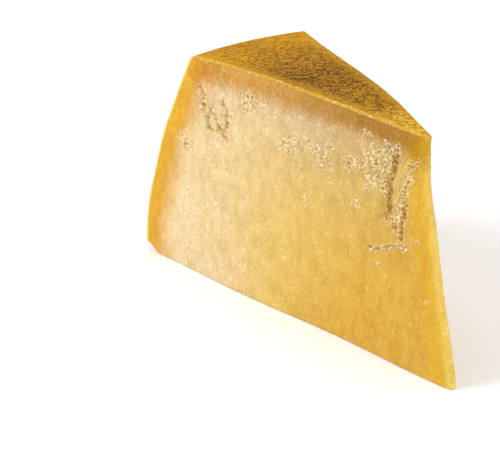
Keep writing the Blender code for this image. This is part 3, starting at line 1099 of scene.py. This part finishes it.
def rind_finish():
    """Golden-brown rind: streaked like worn wood, lighter at the rim, tip and edges, with a bright lip,
    partly its own colour and partly a painted highlight, and painted glints along it.
    """
    finish = Finish("waxed_rind")
    mottle, mark = finish.mottle, finish.mark
    walk, outness, lip = mark("walk"), mark("outness"), mark("lip")
    face_shade = tones_by(
        walk,
        (0.0, 242, 214, 96), (16.0, 226, 188, 64), (40.0, 161, 112, 18),
        (95.0, 144, 98, 12), (140.0, 195, 141, 6), (162.0, 204, 150, 6),
    )
    barrel_shade = tones_by(
        walk - BARREL_START,
        (0.0, 222, 168, 30), (30.0, 216, 160, 34), (90.0, 206, 148, 32), (128.0, 198, 140, 30),
    )
    colour = blended(outness, face_shade, barrel_shade)
    colour = tinted(rise(mottle(26.0, 4.0, 0.2), 0.30, 0.70), colour, 0.84, 0.78, 0.62)
    fibres = mottle(0.9, 4.0, 0.5, (2.0, 1.0, 1.0), WIPE_TURN)
    coarse = mottle(3.2, 4.0, 1.5, (1.6, 1.0, 1.0), WIPE_TURN)
    leather = rise(fibres * 0.65 + coarse * 0.35, 0.45, 0.555)
    dark = tinted(1.0, colour, 0.40, 0.32, 0.20)
    light = tinted(1.0, colour, 1.27, 1.27, 1.25)
    evenness = rise(outness, 0.0, 1.0, 1.0, 0.50)
    streak_share = rise(walk, 165.0, 105.0, 0.52, 1.0) * evenness
    colour = blended(streak_share, colour, blended(leather, dark, light))
    pale = rise(mottle(0.8, 3.0, 0.8, (2.2, 1.0, 1.0), WIPE_TURN), 0.54, 0.65, 0.0, 0.75)
    colour = blended(pale * evenness, colour, tone(212, 166, 42))
    pricks = rise(mottle(0.75, 3.0, 4.1), 0.55, 0.65, 0.0, 0.8)
    colour = tinted(pricks * evenness, colour, 0.56, 0.47, 0.34)
    colour = blended(rise(mark("lip_gap"), 9.0, 0.5, 0.0, 0.45), colour, tone(206, 154, 28))
    # the lip is bright partly from the cut rind's own colour and partly from a painted highlight where its
    # edge catches the light
    ragged_lip = lip + (mottle(1.8, 3.0, 1.2) - 0.5) * 1.6
    lip_and_highlight_colour = blended(outness, tone(207, 158, 62), tone(237, 193, 68))
    colour = blended(rise(ragged_lip, 0.45, 0.95), colour, lip_and_highlight_colour)
    # painted highlights: bright glints along the lip
    painted_highlight_nicks = lip * rise(mottle(1.3, 3.0, 1.9), 0.56, 0.66)
    colour = blended(painted_highlight_nicks, colour, tone(240, 208, 118))
    return finish.made(
        {
            "Base Color": colour,
            "Roughness": rise(leather, 0.0, 1.0, 0.66, 0.46),
            "Normal": finish.bump(mottle(1.0, 4.0, 2.2) + mottle(2.4, 3.0, 2.9) * 1.2, 0.25),
            "Specular IOR Level": 0.10,
        }
    )


def grain_finish(name, pale, deep, roughness):
    """The grains' finish: each grain has its own shade between two, with a faint mottle."""
    finish = Finish(name)
    share = rise(finish.mark("shade") + finish.mottle(0.5) * 0.3, 0.0, 1.3)
    return finish.made(
        {
            "Base Color": blended(share, pale, deep),
            "Normal": finish.bump(finish.mottle(0.3), 0.05),
            "Roughness": roughness,
        }
    )


# ---- the studio

LENS_MM = 150.0
SENSOR_MM = 36.0
CAMERA_TURN = math.radians(56.4)
CAMERA_TILT = math.radians(25.15)
CAMERA_DISTANCE = 1.112
CAMERA_AIM = Vector((AXIS_X - 0.1158, -0.0263, 0.0406))
FLOOR_HALF = 4.0
FLOOR_DROP = 0.2 * MM  # how far the floor lies under the base


def place_camera():
    """The camera stands in front of the thin edge's side, a little above, and looks down at the chunk."""
    flat = math.cos(CAMERA_TILT)
    forward = Vector((-math.sin(CAMERA_TURN) * flat, math.cos(CAMERA_TURN) * flat, -math.sin(CAMERA_TILT)))
    lens = bpy.data.cameras.new("studio_camera")
    lens.lens = LENS_MM
    lens.sensor_width = SENSOR_MM
    camera = add_object("studio_camera", lens)
    camera.location = CAMERA_AIM - forward * CAMERA_DISTANCE
    camera.rotation_euler = forward.to_track_quat("-Z", "Y").to_euler()
    bpy.context.scene.camera = camera


def place_light(name, bearing, elevation, distance, size, power, colour=(1.0, 1.0, 1.0)):
    """A square soft light, aimed at the chunk's middle from a plan bearing and an elevation in degrees."""
    bearing, elevation = math.radians(bearing), math.radians(elevation)
    flat = math.cos(elevation)
    away = Vector((flat * math.cos(bearing), flat * math.sin(bearing), math.sin(elevation)))
    lamp = bpy.data.lights.new(name, "AREA")
    lamp.size = size
    lamp.energy = power
    lamp.color = colour
    light = add_object(name, lamp)
    light.location = Vector((0.0, 0.0, HIGH[2] / 2.0)) + away * distance
    light.rotation_euler = away.to_track_quat("Z", "Y").to_euler()


def lay_floor():
    """A plain pale floor just under the chunk."""
    finish = Finish("studio_floor")
    shade = rise(finish.mottle(400.0), 0.3, 0.7)
    colour = blended(shade, grey(0.95), grey(0.97))
    signs = ((-1, -1), (1, -1), (1, 1), (-1, 1))
    corners = [(x * FLOOR_HALF, y * FLOOR_HALF, -FLOOR_DROP) for x, y in signs]
    mesh = bpy.data.meshes.new("studio_floor")
    mesh.from_pydata(corners, [], [(0, 1, 2, 3)])
    mesh.materials.append(finish.made({"Base Color": colour, "Roughness": 0.9, "Specular IOR Level": 0.0}))
    floor = add_object("studio_floor", mesh)


def light_studio():
    """A white surround, a key light at the front, and weaker ones above, behind and at the edge's side."""
    world = bpy.data.worlds.new("studio")
    world.use_nodes = True
    background = world.node_tree.nodes["Background"]
    background.inputs["Color"].default_value = grey(1.0)
    background.inputs["Strength"].default_value = 0.45
    bpy.context.scene.world = world
    bpy.context.scene.view_settings.view_transform = "Standard"
    place_light("key", -118.0, 40.0, 1.5, 0.7, 13.1)
    place_light("overhead", 160.0, 78.0, 1.6, 1.6, 8.1)
    place_light("back", 98.0, 26.0, 1.6, 1.2, 4.5, (1.0, 0.94, 0.86))
    place_light("fill", 5.0, 22.0, 1.6, 0.9, 10.0)


# ---- the chunk

place_camera()
light_studio()
lay_floor()

paste = make_paste(paste_finish())
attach(paste, "root")
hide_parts("parmesan_chunk")

rind = make_rind(rind_finish())
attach(rind, "root")

crystals = make_grains(
    "parmesan_crystals",
    [scatter_on_split(FRONT, 170, 901, False), scatter_on_split(BACK, 170, 902, False)],
    (0.30 * MM, 0.90 * MM),
    0.5,
    0.18,
    910,
    grain_finish("white_crystal", tone(245, 224, 170), tone(236, 200, 120), 0.45),
)
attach(crystals, "root")

crumbs = make_grains(
    "parmesan_crumbs",
    [scatter_on_split(FRONT, 420, 921, True), scatter_on_split(BACK, 300, 922, True)],
    (0.5 * MM, 1.5 * MM),
    0.8,
    0.18,
    930,
    grain_finish("paste_crumb", tone(243, 216, 154), tone(222, 179, 96), 0.5),
)
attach(crumbs, "root")
